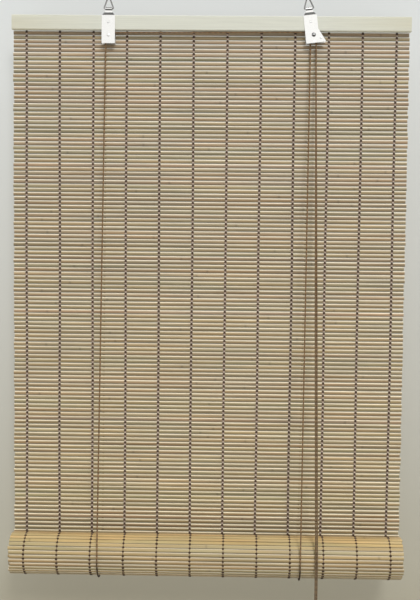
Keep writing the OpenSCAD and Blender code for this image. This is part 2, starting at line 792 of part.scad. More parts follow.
head_rail();
slat_mat();
front_threads();
back_threads();
mat_roll();
roll_threads();
bottom_batten();
left_hanger();
lock_housing();
left_ring();
right_ring();
left_pulley();
lock_pulley();
left_axle();
lock_axle();
hanger_nails();
lock_cam();
cam_pin();
anvil_pin();
mat_staples();
cord_nails();
cord_loops();
left_lift_back();
left_lift_sling();
left_lift_front();
right_lift_back();
right_lift_sling();
right_lift_front();
cross_cord();
right_cord_wrap();
pull_cord_upper();
pull_cord_lower();
cord_hank();
hank_tie();
pull_knob();
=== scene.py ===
"""Roll-up bamboo blind: slats, yarns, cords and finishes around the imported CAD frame."""

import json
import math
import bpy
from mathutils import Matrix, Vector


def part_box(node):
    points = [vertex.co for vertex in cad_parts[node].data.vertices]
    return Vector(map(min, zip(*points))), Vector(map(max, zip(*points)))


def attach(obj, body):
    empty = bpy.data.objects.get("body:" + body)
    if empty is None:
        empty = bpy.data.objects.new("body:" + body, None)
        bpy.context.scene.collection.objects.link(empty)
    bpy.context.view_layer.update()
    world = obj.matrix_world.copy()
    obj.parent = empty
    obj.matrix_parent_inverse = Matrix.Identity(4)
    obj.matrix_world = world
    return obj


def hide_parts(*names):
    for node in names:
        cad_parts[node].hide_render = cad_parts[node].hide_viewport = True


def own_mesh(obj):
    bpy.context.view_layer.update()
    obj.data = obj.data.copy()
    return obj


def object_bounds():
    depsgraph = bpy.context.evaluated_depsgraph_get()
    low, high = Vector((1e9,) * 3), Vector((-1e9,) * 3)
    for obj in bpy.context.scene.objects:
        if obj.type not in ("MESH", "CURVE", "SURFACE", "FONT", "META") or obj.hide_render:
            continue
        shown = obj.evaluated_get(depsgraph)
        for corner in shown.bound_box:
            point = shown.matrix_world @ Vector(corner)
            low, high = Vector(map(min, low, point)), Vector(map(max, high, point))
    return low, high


bl_info = {
    "name": "Bamboo roll-up blind",
    "version": (1, 0, 0),
    "blender": (4, 5, 0),
    "location": "View3D > Sidebar > Blind",
    "description": "Builds the slats, yarns, cords and finishes of a roll-up bamboo blind",
    "category": "Object",
}

import bpy
import numpy as np
from bpy.props import FloatProperty, FloatVectorProperty, IntProperty, PointerProperty
from mathutils import Matrix, Vector

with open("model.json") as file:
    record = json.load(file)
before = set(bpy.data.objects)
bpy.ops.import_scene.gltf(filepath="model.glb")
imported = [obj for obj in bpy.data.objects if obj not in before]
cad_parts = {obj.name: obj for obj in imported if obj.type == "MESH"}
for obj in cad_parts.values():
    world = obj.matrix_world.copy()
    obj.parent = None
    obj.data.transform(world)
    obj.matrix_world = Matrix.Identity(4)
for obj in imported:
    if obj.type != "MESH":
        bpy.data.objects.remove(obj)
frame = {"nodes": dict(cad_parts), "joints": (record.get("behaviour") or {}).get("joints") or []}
cad_box = [list(corner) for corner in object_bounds()]

MM = 0.001


def linear(code):
    """An sRGB hex colour as linear RGB."""
    parts = [int(code[i : i + 2], 16) / 255 for i in (1, 3, 5)]
    return tuple(c / 12.92 if c <= 0.04045 else ((c + 0.055) / 1.055) ** 2.4 for c in parts)


def joint(name):
    """A joint of the frame."""
    return next(j for j in frame["joints"] if j["name"] == name)


def joint_pos(name):
    """A joint's place in the frame, in metres."""
    return np.array(joint(name)["pos_m"], float)


def length_prop(name, description, mm):
    """A length property whose default is given in millimetres."""
    return FloatProperty(
        name=name, description=description, default=mm * MM, min=0.0, precision=5, unit="LENGTH"
    )


def colour_prop(name, description, code):
    """A colour property whose default is an sRGB hex value."""
    return FloatVectorProperty(
        name=name, description=description, default=linear(code), min=0.0, max=1.0, size=3, subtype="COLOR"
    )


class BlindSizes(bpy.types.PropertyGroup):
    """Sizes that repeat those of the part's source, and a few of the yarns and the cut of the slats."""

    slat_count: IntProperty(name="Flat slats", description="Slats that hang flat", default=127, min=2)
    slat_pitch: length_prop("Slat pitch", "Height of one slat with its gap", 6.4)
    slat_gap: length_prop("Slat gap", "Gap between two slats", 0.6)
    slat_t: length_prop("Slat thickness", "Thickness of a slat at its crest", 2.4)
    slat_edge: length_prop("Slat edge", "Depth at which the rounded front starts", 0.7)
    slat_bow: length_prop("Slat back", "Depth of the back's long edges below its middle", 0.3)
    end_spread: length_prop("End spread", "How far the ends of the slats vary", 0.9)
    thread_count: IntProperty(name="Warp threads", description="Number of warp threads", default=12, min=2)
    thread_edge: length_prop("Thread edge", "Edge of the mat to the first thread", 18.5)
    thread_w: length_prop("Thread width", "Width of a front yarn", 3.9)
    roll_r: length_prop("Roll radius", "Outside radius of the roll", 34)
    turn_pitch: length_prop("Turn pitch", "Distance from one turn of the roll to the next", 4.4)
    wound_slats: IntProperty(name="Wound slats", description="Slats in the roll", default=121, min=2)
    cord_d: length_prop("Cord diameter", "Diameter of the braided cords", 2.2)
    tie_d: length_prop("Tie diameter", "Diameter of the thin cord round the hank", 1.6)
    hank_pitch: length_prop("Hank pitch", "Distance between neighbouring turns of the hank", 2.3)


class BlindColours(bpy.types.PropertyGroup):
    """Colours of the materials."""

    bamboo_beige: colour_prop("Beige slat", "Most common slat colour", "#A49274")
    bamboo_olive: colour_prop("Olive slat", "Greenish slats", "#9D9371")
    bamboo_rose: colour_prop("Rose slat", "Pinkish slats", "#A68F79")
    bamboo_brown: colour_prop("Brown slat", "Darker slats", "#8A7456")
    # painted highlight: the cream colour of the slats' edges that face up, where the light falls on them
    slat_painted_highlight: colour_prop("Slat edge", "Planed upper edges of the slats", "#F0E8D3")
    yarn_dark: colour_prop("Front yarn", "Thick yarn over the slats", "#38230F")
    yarn_thin: colour_prop("Back yarn", "Thin yarn on the backs of the slats", "#B8A698")
    rail_pale: colour_prop("Rail", "Lime-washed wood of the head rail", "#CDCEC2")
    rail_warm: colour_prop("Rail ends", "Warmer wood towards the ends of the rail", "#C4C0A8")
    cord_brown: colour_prop("Cord", "Braided cord", "#806443")
    cord_fleck: colour_prop("Cord fleck", "Darker strands of the braid", "#55412B")
    knob_wood: colour_prop("Knob", "Stained wood of the knob", "#7B5232")
    batten: colour_prop("Batten", "Round stick in the middle of the roll", "#B59A6C")
    zinc: colour_prop("Plating", "Bright zinc plating", "#F6F6F4")
    nylon: colour_prop("Pulley", "Ivory nylon of the pulleys", "#DDD8C8")
    # the wall's two colours paint a falloff of light: darker towards the foot
    wall_top: colour_prop("Wall, top", "Backdrop behind the head rail", "#DFE2E1")
    wall_foot: colour_prop("Wall, foot", "Backdrop below the roll", "#A7A290")
    floor: colour_prop("Floor", "Pale floor", "#D9D6CE")


def sizes():
    """The scene's sizes."""
    return bpy.context.scene.blind_sizes


def colours():
    """The scene's colours."""
    return bpy.context.scene.blind_colours


# Mesh building


def loft(rings, along, around):
    """Quads over closed rings of points, with UVs in metres, and two end caps."""
    count, sides, _ = rings.shape
    i, j = np.meshgrid(np.arange(count - 1), np.arange(sides), indexing="ij")
    k = (j + 1) % sides
    quads = np.stack([i * sides + j, i * sides + k, (i + 1) * sides + k, (i + 1) * sides + j], -1)
    corners = ((0, 0), (0, 1), (1, 1), (1, 0))
    uv = np.stack([np.stack([along[i + m], around[j + n]], -1) for m, n in corners], 2)
    order = np.arange(sides)
    caps = [order[::-1], order + (count - 1) * sides]
    cap_uv = [[(along[0], around[c]) for c in order[::-1]], [(along[-1], around[c]) for c in order]]
    return rings.reshape(-1, 3), quads.reshape(-1, 4), uv.reshape(-1, 2), caps, cap_uv


class Stock:
    """Collects lofted lengths of one material, to become one piece."""

    def __init__(self):
        self.points, self.faces, self.uvs, self.tones = [], [], [], []
        self.total = 0

    def add(self, rings, along, around, tone):
        """Adds a loft. tone is one colour, or colours for the rings by the points of a ring."""
        points, quads, uv, caps, cap_uv = loft(rings, along, around)
        self.points.append(points)
        self.faces += (quads + self.total).tolist()
        self.faces += [(cap + self.total).tolist() for cap in caps]
        self.uvs += [uv, *(np.array(c) for c in cap_uv)]
        self.tones.append(np.broadcast_to(np.asarray(tone, float), rings.shape).reshape(-1, 3))
        self.total += len(points)

    def piece(self, name, material, sharp=50):
        """The mesh object, smooth shaded, with edges sharper than the angle in degrees kept sharp."""
        points = np.concatenate(self.points)
        mesh = bpy.data.meshes.new(name)
        mesh.from_pydata(points.tolist(), [], self.faces)
        uvs = np.concatenate(self.uvs).astype(np.float32)
        mesh.uv_layers.new(name="UVMap").data.foreach_set("uv", uvs.ravel())
        tones = np.ones((len(points), 4), np.float32)
        tones[:, :3] = np.concatenate(self.tones)
        mesh.color_attributes.new("tone", "FLOAT_COLOR", "POINT").data.foreach_set("color", tones.ravel())
        # a negative volume means that the faces look inwards
        mesh.calc_loop_triangles()
        tris = np.zeros(len(mesh.loop_triangles) * 3, np.int32)
        mesh.loop_triangles.foreach_get("vertices", tris)
        a, b, c = (points[tris[n::3]] for n in range(3))
        if np.einsum("ij,ij->i", a, np.cross(b, c)).sum() < 0:
            mesh.flip_normals()
        mesh.shade_smooth()
        mesh.set_sharp_from_angle(angle=math.radians(sharp))
        mesh.materials.append(material)
        made = bpy.data.objects.new(name, mesh)
        bpy.context.scene.collection.objects.link(made)
        return made


def arc_lengths(path):
    """Distance along a path at each of its points."""
    return np.concatenate([[0.0], np.cumsum(np.linalg.norm(np.diff(path, axis=0), axis=1))])


def resample(path, step):
    """The path with points an even distance apart."""
    at = arc_lengths(path)
    want = np.linspace(0, at[-1], max(2, int(round(at[-1] / step)) + 1))
    return np.stack([np.interp(want, at, path[:, k]) for k in range(3)], -1)


def smooth_path(points, per_span):
    """A Catmull-Rom curve through the points."""
    p = np.asarray(points, float)
    p = np.concatenate([[2 * p[0] - p[1]], p, [2 * p[-1] - p[-2]]])
    out = []
    for a, b, c, d in zip(p[:-3], p[1:-2], p[2:-1], p[3:]):
        slope, bend, twist = c - a, 2 * a - 5 * b + 4 * c - d, 3 * b - a - 3 * c + d
        for t in np.linspace(0, 1, per_span, endpoint=False):
            out.append(0.5 * (2 * b + slope * t + bend * t * t + twist * t**3))
    return np.array(out + [p[-2]])


def tube_rings(path, radius, sides):
    """Rings of points round a path, turned as little as possible from one to the next."""
    path = np.asarray(path, float)
    tangent = np.gradient(path, axis=0)
    tangent /= np.linalg.norm(tangent, axis=1)[:, None]
    side = np.cross(tangent[0], (1.0, 0.0, 0.0) if abs(tangent[0][0]) < 0.8 else (0.0, 1.0, 0.0))
    angles = np.arange(sides) * 2 * math.pi / sides
    rings = []
    for at, t in zip(path, tangent):
        side = side - t * side.dot(t)
        side /= np.linalg.norm(side)
        up = np.cross(t, side)
        rings.append(at + radius * (np.cos(angles)[:, None] * side + np.sin(angles)[:, None] * up))
    return np.array(rings)


def add_cord(stock, path, diameter, sides=10, tone=(1, 1, 1)):
    """Adds a round cord along a path. tone is one shade, or one for each point of the path."""
    around = np.linspace(0, math.pi * diameter, sides + 1)
    tone = np.broadcast_to(tone, (len(path), 3))[:, None]
    stock.add(tube_rings(path, diameter / 2, sides), arc_lengths(path), around, tone)


def add_bead(stock, centre, half, axes, tone):
    """Adds a small rounded loop of yarn: an ellipsoid with half sizes along three axes."""
    sides = 6
    latitudes = (-1.25, -0.55, 0.55, 1.25)
    turn = np.arange(sides) * 2 * math.pi / sides
    outline = np.cos(turn)[:, None] * axes[0] * half[0] + np.sin(turn)[:, None] * axes[1] * half[1]
    rings = [centre + math.cos(a) * outline + math.sin(a) * axes[2] * half[2] for a in latitudes]
    stock.add(np.array(rings), np.arange(len(latitudes)) * half[2], np.arange(sides + 1) * half[0], tone)


def ripple(rng, at, slowest, fastest):
    """A sine along a length, with a random pace in radians a metre and a random start."""
    return np.sin(at * rng.uniform(slowest, fastest) + rng.uniform(0, 6.28))


# Materials


def add(tree, kind, inputs=None, **settings):
    """Adds a node with its settings. An input is a value, a socket, or a node for its first output."""
    made = tree.nodes.new(kind)
    for key, value in settings.items():
        setattr(made, key, value)
    for key, value in (inputs or {}).items():
        if isinstance(value, bpy.types.Node):
            value = value.outputs[0]
        if isinstance(value, bpy.types.NodeSocket):
            tree.links.new(value, made.inputs[key])
        else:
            made.inputs[key].default_value = value
    return made


def new_material(name):
    """An empty node material and its tree."""
    material = bpy.data.materials.new(name)
    material.use_nodes = True
    material.node_tree.nodes.clear()
    return material, material.node_tree


def rgba(colour):
    """A colour with full alpha."""
    return (*colour, 1.0)


def shaded(tree, colour, pattern, reach, shades):
    """A colour scaled from the first to the second shade as a pattern goes through its reach."""
    level = add(
        tree,
        "ShaderNodeMapRange",
        {
            "Value": pattern,
            "From Min": reach[0],
            "From Max": reach[1],
            "To Min": shades[0],
            "To Max": shades[1],
        },
    )
    return add(tree, "ShaderNodeVectorMath", {0: colour, "Scale": level}, operation="SCALE")


def surface(tree, colour, relief, strength, depth_mm, look):
    """Ends a material: a bump from the relief of its pattern, and a shader with the values of its look."""
    bump = add(tree, "ShaderNodeBump", {"Height": relief, "Strength": strength, "Distance": depth_mm * MM})
    shader = add(tree, "ShaderNodeBsdfPrincipled", {"Base Color": colour, "Normal": bump, **look})
    add(tree, "ShaderNodeOutputMaterial", {"Surface": shader})


def split_bamboo():
    """Split bamboo, planed and left bare: fine fibres along the slat, blotches and a waxy skin."""
    material, tree = new_material("split_bamboo")
    uv = add(tree, "ShaderNodeUVMap", uv_map="UVMap")
    patterns = []
    # fibres 60 mm long and 0.5 mm wide, and blotches of 120 by 3 mm
    for length, width, detail in ((60 * MM, 0.5 * MM, 3.0), (120 * MM, 3 * MM, 2.0)):
        place = add(tree, "ShaderNodeMapping", {"Vector": uv, "Scale": (1 / length, 1 / width, 1)})
        noise = {"Vector": place, "Scale": 1.0, "Detail": detail}
        patterns.append(add(tree, "ShaderNodeTexNoise", noise, noise_dimensions="2D"))
    fibre, blotch = patterns
    tone = add(tree, "ShaderNodeAttribute", attribute_name="tone")
    streaked = shaded(tree, tone, fibre, (0.25, 0.75), (0.82, 1.14))
    colour = shaded(tree, streaked, blotch, (0.25, 0.75), (0.9, 1.1))
    rough = add(
        tree,
        "ShaderNodeMapRange",
        {"Value": fibre, "From Min": 0.2, "From Max": 0.8, "To Min": 0.36, "To Max": 0.56},
    )
    surface(tree, colour, fibre, strength=0.25, depth_mm=0.15, look={"Roughness": rough, "IOR": 1.5})
    return material


def spun_yarn():
    """Spun cotton yarn, dyed: hairy and dull, with the fibres slanting round it."""
    material, tree = new_material("spun_cotton_yarn")
    uv = add(tree, "ShaderNodeUVMap", uv_map="UVMap")
    # fibres 2.5 mm long and 0.4 mm wide slant across the yarn
    fibre = (1 / (2.5 * MM), 1 / (0.4 * MM), 1)
    slant = add(tree, "ShaderNodeMapping", {"Vector": uv, "Rotation": (0, 0, 0.6), "Scale": fibre})
    noise = {"Vector": slant, "Scale": 1.0, "Detail": 2.0}
    hair = add(tree, "ShaderNodeTexNoise", noise, noise_dimensions="2D")
    tone = add(tree, "ShaderNodeAttribute", attribute_name="tone")
    colour = shaded(tree, tone, hair, (0.25, 0.75), (0.7, 1.3))
    surface(tree, colour, hair, strength=0.4, depth_mm=0.1, look={"Roughness": 0.95, "Sheen Weight": 0.06})
    return material


def braided_cord():
    """Braided polyester cord: strands cross in a check, some darker, with a slight gloss."""
    c = colours()
    material, tree = new_material("braided_polyester_cord")
    uv = add(tree, "ShaderNodeUVMap", uv_map="UVMap")
    # two sets of strands cross at 0.75 radians to the cord. Real ones are about 1 mm apart, which is
    # too fine to show, so they are drawn coarser. At scale 1 the wave goes through 20 radians a metre.
    strand_pitch = 5.652 * MM
    scale = 2 * math.pi / (20 * strand_pitch)
    waves = []
    for angle in (0.75, -0.75):
        turned = add(tree, "ShaderNodeMapping", {"Vector": uv, "Rotation": (0, 0, angle)})
        wave = {"Vector": turned, "Scale": scale, "Distortion": 0.3}
        strands = add(tree, "ShaderNodeTexWave", wave, wave_type="BANDS", bands_direction="X")
        waves.append(strands.outputs["Fac"])
    check = add(tree, "ShaderNodeMath", {0: waves[0], 1: waves[1]}, operation="MULTIPLY")
    # flecks about 4 mm long
    noise = {"Vector": uv, "Scale": 1 / (3.846 * MM), "Detail": 2.0}
    fleck = add(tree, "ShaderNodeTexNoise", noise, noise_dimensions="2D")
    share = add(
        tree,
        "ShaderNodeMapRange",
        {"Value": fleck, "From Min": 0.45, "From Max": 0.65, "To Min": 0.0, "To Max": 0.6},
    )
    both = add(
        tree, "ShaderNodeMix", {0: share, 6: rgba(c.cord_brown), 7: rgba(c.cord_fleck)}, data_type="RGBA"
    )
    clean = shaded(tree, both.outputs[2], check, (0.0, 0.8), (0.72, 1.2))
    # the tone carries painted shade: under the roll and lower down the pull cord
    painted_shade_tone = add(tree, "ShaderNodeAttribute", attribute_name="tone")
    colour = add(tree, "ShaderNodeVectorMath", {0: clean, 1: painted_shade_tone}, operation="MULTIPLY")
    surface(tree, colour, check, strength=0.6, depth_mm=0.2, look={"Roughness": 0.62})
    return material


def wood(name, base, warm, grain_mm, roughness, upright=False, ends=None):
    """Sawn or turned wood: grain lines along X, or along Z where upright, with a soft colour drift.

    ends holds the middle and the half length of a rail that is warmer towards its ends.
    """
    material, tree = new_material(name)
    place = add(tree, "ShaderNodeTexCoord").outputs["Object"]
    # a grain line is 60 times as long as it is wide, and the drift is 9 times as coarse as the grain
    fine, long = 1 / (grain_mm * MM), 1 / (grain_mm * 60 * MM)
    scale = (fine, fine, long) if upright else (long, fine, fine)
    grain_at = add(tree, "ShaderNodeMapping", {"Vector": place, "Scale": scale})
    noise = {"Vector": grain_at, "Scale": 1.0, "Detail": 4.0, "Distortion": 0.4}
    grain = add(tree, "ShaderNodeTexNoise", noise)
    drift_at = add(tree, "ShaderNodeMapping", {"Vector": place, "Scale": tuple(s / 9 for s in scale)})
    share = add(tree, "ShaderNodeTexNoise", {"Vector": drift_at, "Scale": 1.0, "Detail": 2.0})
    if ends:
        middle, half = ends
        x = add(tree, "ShaderNodeSeparateXYZ", {0: place})
        off = add(tree, "ShaderNodeMath", {0: x, 1: middle}, operation="SUBTRACT")
        far = add(tree, "ShaderNodeMath", {0: off}, operation="ABSOLUTE")
        near_end = add(
            tree,
            "ShaderNodeMapRange",
            {"Value": far, "From Min": half * 0.55, "From Max": half, "To Min": 0.0, "To Max": 1.1},
        )
        share = add(tree, "ShaderNodeMath", {0: share, 1: near_end}, operation="MULTIPLY")
    both = add(tree, "ShaderNodeMix", {0: share, 6: rgba(base), 7: rgba(warm)}, data_type="RGBA")
    colour = shaded(tree, both.outputs[2], grain, (0.3, 0.7), (0.93, 1.05))
    surface(tree, colour, grain, strength=0.2, depth_mm=0.2, look={"Roughness": roughness, "IOR": 1.5})
    return material


def plated_steel(name, colour, roughness, scratch_mm, shade_line=None):
    """Zinc-plated pressed steel: bright, a little cloudy, with fine drawn lines from the press.

    The last argument is a point, and the direction across, of a dark line of painted shade where the strip
    was rolled over.
    """
    material, tree = new_material(name)
    place = add(tree, "ShaderNodeTexCoord").outputs["Object"]
    # a drawn line is 30 times as long as it is wide, and the clouds are 6 mm across
    fine, long = 1 / (scratch_mm * MM), 1 / (scratch_mm * 30 * MM)
    lines_at = add(tree, "ShaderNodeMapping", {"Vector": place, "Scale": (fine, fine, long)})
    lines = add(tree, "ShaderNodeTexNoise", {"Vector": lines_at, "Scale": 1.0, "Detail": 2.0})
    cloud = add(tree, "ShaderNodeTexNoise", {"Vector": place, "Scale": 1 / (6 * MM), "Detail": 3.0})
    bright, dull = roughness * 0.9, roughness * 1.12
    rough = add(
        tree,
        "ShaderNodeMapRange",
        {"Value": cloud, "From Min": 0.3, "From Max": 0.7, "To Min": bright, "To Max": dull},
    )
    tint = shaded(tree, colour, lines, (0.3, 0.7), (0.98, 1.01))
    # painted shade: a dark line across the strip where it was rolled over
    if shade_line:
        off = add(tree, "ShaderNodeVectorMath", {0: place, 1: shade_line[0]}, operation="SUBTRACT")
        across = add(tree, "ShaderNodeVectorMath", {0: off, 1: shade_line[1]}, operation="DOT_PRODUCT")
        far = add(tree, "ShaderNodeMath", {0: across.outputs["Value"]}, operation="ABSOLUTE")
        tint = shaded(tree, tint, far, (0.8 * MM, 1.1 * MM), (0.03, 1.0))
    surface(tree, tint, lines, strength=0.05, depth_mm=0.05, look={"Metallic": 1.0, "Roughness": rough})
    return material


def moulded_nylon():
    """Moulded nylon: slightly waxy, with a fine mottle from the mould."""
    material, tree = new_material("moulded_nylon")
    place = add(tree, "ShaderNodeTexCoord").outputs["Object"]
    # the mottle is 1.2 mm across
    mottle = add(tree, "ShaderNodeTexNoise", {"Vector": place, "Scale": 1 / (1.2 * MM), "Detail": 2.0})
    colour = shaded(tree, tuple(colours().nylon), mottle, (0.3, 0.7), (0.95, 1.03))
    surface(tree, colour, mottle, strength=0.1, depth_mm=0.1, look={"Roughness": 0.45, "IOR": 1.53})
    return material


def painted_wall():
    """Painted wall, dull, darker towards its foot as painted shade. Only the camera sees it, and only from
    the front.
    """
    c = colours()
    material, tree = new_material("painted_wall")
    place = add(tree, "ShaderNodeTexCoord").outputs["Object"]
    height = add(tree, "ShaderNodeSeparateXYZ", {0: place}).outputs["Z"]
    painted_falloff = add(tree, "ShaderNodeMapRange", {"Value": height, "From Min": -0.95, "From Max": 0.0})
    both = {0: painted_falloff, 6: rgba(c.wall_foot), 7: rgba(c.wall_top)}
    paint = add(tree, "ShaderNodeMix", both, data_type="RGBA").outputs[2]
    # painted light: half of what is seen is lit and half glows, so that the blind's shadow shows softly
    lit = add(tree, "ShaderNodeBsdfDiffuse", {"Color": paint})
    painted_glow = add(tree, "ShaderNodeEmission", {"Color": paint, "Strength": 0.95})
    front = add(tree, "ShaderNodeMixShader", {0: 0.5, 1: lit, 2: painted_glow})
    clear = add(tree, "ShaderNodeBsdfTransparent")
    behind = add(tree, "ShaderNodeNewGeometry").outputs["Backfacing"]
    seen = add(tree, "ShaderNodeLightPath").outputs["Is Camera Ray"]
    shown = add(tree, "ShaderNodeMath", {0: seen, 1: behind}, operation="SUBTRACT", use_clamp=True)
    shader = add(tree, "ShaderNodeMixShader", {0: shown, 1: clear, 2: front})
    add(tree, "ShaderNodeOutputMaterial", {"Surface": shader})
    return material


def pale_floor():
    """Pale painted floor with faint clouds, dull.

    It is full for the light that it throws back, a little dimmer to the camera, and dark in gloss.
    """
    material, tree = new_material("pale_floor")
    # 30 clouds over the 8 m of the floor
    cloud = add(tree, "ShaderNodeTexNoise", {"Scale": 30.0, "Detail": 3.0})
    paint = shaded(tree, tuple(colours().floor), cloud, (0.0, 1.0), (0.97, 1.03))
    ray = add(tree, "ShaderNodeLightPath")
    seen = {"Value": ray.outputs["Is Camera Ray"], "To Min": 1.0, "To Max": 0.8}
    view = add(tree, "ShaderNodeMapRange", seen)
    gloss = {0: ray.outputs["Is Glossy Ray"], 1: -0.88, 2: view}
    level = add(tree, "ShaderNodeMath", gloss, operation="MULTIPLY_ADD")
    colour = add(tree, "ShaderNodeVectorMath", {0: paint, "Scale": level}, operation="SCALE")
    shader = add(tree, "ShaderNodeBsdfPrincipled", {"Base Color": colour, "Roughness": 0.8})
    add(tree, "ShaderNodeOutputMaterial", {"Surface": shader})
    return material


def paint_node(name, material):
    """Gives a CAD node's object a material."""
    made = frame["nodes"][name]
    made.data.materials.clear()
    made.data.materials.append(material)


# Places shared by the pieces

ROLL_AXIS = joint_pos("roll_turn")
MAT_LOW, MAT_HIGH = (np.array(c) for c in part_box("slat_mat"))
LEFT_AXLE = joint_pos("left_pulley_spin")
LOCK_AXLE = joint_pos("lock_pulley_spin")
HANK_LOW, HANK_HIGH = (np.array(c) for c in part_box("cord_hank"))

# radius at which a cord runs over a pulley, and depths of the two grooves
CORD_R = 4.2 * MM
GROOVES = (-2.1 * MM, 1.0 * MM)

# where the lift cords leave their pulleys, and where they reach the roll, a little to the left
LIFT_X = (-CORD_R, LOCK_AXLE[0] - CORD_R)
FOOT_X = (LIFT_X[0] - 3.6 * MM, LIFT_X[1] - 7.0 * MM)
LIFT_TOP_Z = (LEFT_AXLE[2] - 6.3 * MM, LOCK_AXLE[2] - 6.3 * MM)
SLING_R = 35.4 * MM

# where the pull cord leaves the lock
PULL_X = LOCK_AXLE[0] + CORD_R
EXIT_Z = -70 * MM

# back runs of the lift cords, and their loops on the nails
BACK_RUN_Y = 9.6 * MM
BACK_TOP_Z = -39.8 * MM
NAIL_Z = -36.6 * MM
LOOP_R = 2.05 * MM


def dress(piece, body, slot, *nodes):
    """Puts a piece on its CAD body, in place of CAD nodes. slot is not used."""
    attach(piece, body)
    if nodes:
        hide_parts(*nodes)
    return piece


def draw_up(piece):
    """Gives a hanging piece a mesh of its own."""
    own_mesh(piece)


# Slats and threads


def thread_places():
    """Where the warp threads cross the mat, from left to right."""
    s = sizes()
    return np.linspace(MAT_LOW[0] + s.thread_edge, MAT_HIGH[0] - s.thread_edge, s.thread_count)


def slat_profile(height):
    """Outline of a slat as (depth from its back, height), round in front and slightly bowed behind."""
    s = sizes()
    turn = np.linspace(math.pi / 2, -math.pi / 2, 9)
    crest = s.slat_edge + (s.slat_t - s.slat_edge) * np.clip(np.cos(turn), 0, 1) ** 0.6
    front = np.stack([crest, height / 2 * np.sin(turn)], -1)
    across = np.array((-0.97, -0.55, 0.0, 0.55, 0.97))
    back = np.stack([s.slat_bow * across * across, height / 2 * across], -1)
    return np.concatenate([front, back])


def slat_around(profile, number):
    """Distance round a slat's outline, moved on for each slat so that no two have the same grain."""
    girth, apart = 16 * MM, 50 * MM
    return np.append(arc_lengths(profile), girth) + number * apart


def slat_places(rng, low, high, segments):
    """Places along a slat for its rings, closer at the ridge that a cane has at each joint.

    Also gives how near each place is to the ridge, from 0 to 1.
    """
    margin, step, width = 30 * MM, 2.5 * MM, 1.6 * MM
    at = np.linspace(low, high, segments + 1)
    ridge = rng.uniform(low + margin, high - margin)
    at = np.sort(np.concatenate([at, [ridge - step, ridge, ridge + step]]))
    return at, np.exp(-(((at - ridge) / width) ** 2))


def slat_bend(rng, at):
    """How far a slat strays from a straight line along it."""
    return 0.1 * MM * ripple(rng, at, 5, 14)


def slat_tone(rng, at, ridge, foot, spread):
    """Colour of a slat at places along it: a mix of the bamboo colours that drifts, dark on the ridge.

    foot is 0 at the head of the mat and 1 at its foot, where slats are more olive. spread is how far
    slats differ in lightness.
    """
    c = colours()
    palette = np.array([c.bamboo_beige, c.bamboo_olive, c.bamboo_rose, c.bamboo_brown])
    mix = rng.dirichlet((2.0, 1.2 + 1.0 * foot, 1.2 - 0.8 * foot, 0.8))
    base = mix @ palette * rng.uniform(1 - spread, 1 + spread)
    lightness = 1 + 0.07 * ripple(rng, at, 4, 30)
    redder = 0.05 * ripple(rng, at, 10, 40)
    drift = base * lightness[:, None] * (1 + redder[:, None] * np.array((1.0, 0.0, -1.0)))
    return drift * (1 - 0.3 * ridge)[:, None]


def slat_colours_with_painted_light(tone, profile, up, highlight_share):
    """Colours of a slat at its rings by the points of its outline.

    The edge that faces up gets a painted highlight in a cream colour, the other painted shade, and both rims
    painted shade where the gaps are. up is 1 where the outline is upright, and -1 where it is upside down.
    The last argument is the share of the highlight colour.
    """
    # painted light, in shares of half a slat: where the highlight starts, how soon it is full, and where the
    # shade starts
    highlight_from, highlight_in, under_shade_from = 0.42, 0.2, 0.2
    share = profile[:, 1] / np.abs(profile[:, 1]).max()
    # painted highlight on the edge that faces up
    pale = np.clip((share * up - highlight_from) / highlight_in, 0, 1)
    # painted shade on the lower side
    painted_under_shade = 0.22 * np.clip(under_shade_from - share * up, 0, 1)
    # painted shade at both rims, where the gaps are
    painted_gap_shade = 0.3 * share**6 * (1 - pale)
    shade = 0.95 - painted_under_shade - painted_gap_shade
    edge = highlight_share * pale[:, None]
    return (tone[:, None] * (1 - edge) + np.array(colours().slat_painted_highlight) * edge) * shade[:, None]


# Operators


